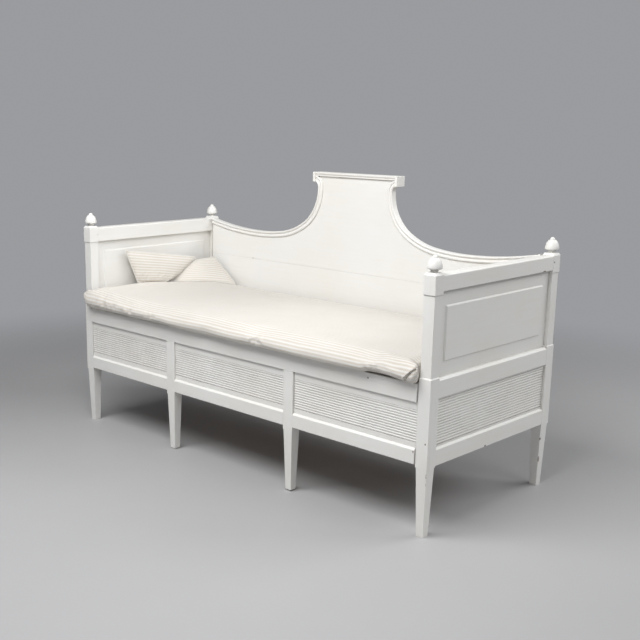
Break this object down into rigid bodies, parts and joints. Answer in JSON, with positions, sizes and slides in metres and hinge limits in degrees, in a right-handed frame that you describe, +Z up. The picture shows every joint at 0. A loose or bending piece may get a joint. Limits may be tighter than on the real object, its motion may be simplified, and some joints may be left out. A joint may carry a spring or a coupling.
{
  "type": "pull-out bench bed",
  "caption": "Painted wooden bench bed with fielded ends, reeded panels, a humped back and a slatted front that pulls out on its middle legs to widen the bed.",
  "frame": {"origin": "on the floor, in the middle of the whole bench's length and depth", "axes": "+X along the bench to the right seen from the front, -Y the front, +Z up"},
  "size_m": [1.8436, 0.8018, 1.107],
  "materials": {
    "painted_wood": "old off-white paint, satin, worn at edges",
    "bare_wood": "bare pine, planed",
    "screw_steel": "dull steel wood screws",
    "ticking": "cream cotton with thin beige stripes"
  },
  "bodies": {
    "frame": {"post_front_left": "painted_wood", "post_front_right": "painted_wood", "finial_front_left": "painted_wood", "finial_front_right": "painted_wood", "post_back_left": "painted_wood", "post_back_right": "painted_wood", "finial_back_left": "painted_wood", "finial_back_right": "painted_wood", "end_top_rail_left": "painted_wood", "end_top_rail_right": "painted_wood", "end_seat_rail_left": "painted_wood", "end_seat_rail_right": "painted_wood", "end_bottom_rail_left": "painted_wood", "end_bottom_rail_right": "painted_wood", "end_field_panel_left": "painted_wood", "end_field_panel_right": "painted_wood", "end_reeded_panel_left": "painted_wood", "end_reeded_panel_right": "painted_wood", "back_moulding_left": "painted_wood", "back_moulding_right": "painted_wood", "runner_left": "bare_wood", "runner_right": "bare_wood", "runner_stop_left": "bare_wood", "runner_stop_right": "bare_wood", "back_upper_board": "painted_wood", "back_lower_board": "painted_wood", "back_cap": "painted_wood", "back_seat_rail": "painted_wood", "back_bottom_rail": "painted_wood", "back_lower_panel": "painted_wood", "slat_ledger": "bare_wood", "fixed_slats": "bare_wood", "fixed_slat_screws": "screw_steel", "frame_pegs": "bare_wood"},
    "pull_out": {"front_top_rail": "painted_wood", "mid_leg_left": "painted_wood", "mid_leg_right": "painted_wood", "front_bottom_rail_left": "painted_wood", "front_bottom_rail_middle": "painted_wood", "front_bottom_rail_right": "painted_wood", "front_reeded_panel_left": "painted_wood", "front_reeded_panel_middle": "painted_wood", "front_reeded_panel_right": "painted_wood", "end_cleat_left": "bare_wood", "end_cleat_right": "bare_wood", "side_bearer_left": "bare_wood", "side_bearer_right": "bare_wood", "beam_stop_left": "bare_wood", "beam_stop_right": "bare_wood", "front_slat_batten": "bare_wood", "rear_beam": "bare_wood", "pull_out_slats": "bare_wood", "pull_out_slat_screws": "screw_steel"},
    "mattress": {"mattress": "ticking"},
    "corner_pillow": {"corner_pillow": "ticking"},
    "end_pillow": {"end_pillow": "ticking"}
  },
  "joints": [
    {"name": "pull_out_slide", "type": "slide", "parent": "frame", "child": "pull_out", "axis": [0, -1, 0], "range_m": [0, 0.48]},
    {"name": "mattress_lift", "type": "slide", "parent": "frame", "child": "mattress", "axis": [0, 0, 1], "range_m": [0, 0.62]},
    {"name": "corner_pillow_lift", "type": "slide", "parent": "mattress", "child": "corner_pillow", "axis": [0, 0, 1], "range_m": [0, 0.4]},
    {"name": "end_pillow_lift", "type": "slide", "parent": "corner_pillow", "child": "end_pillow", "axis": [0, 0, 1], "range_m": [0, 0.4]}
  ]
}
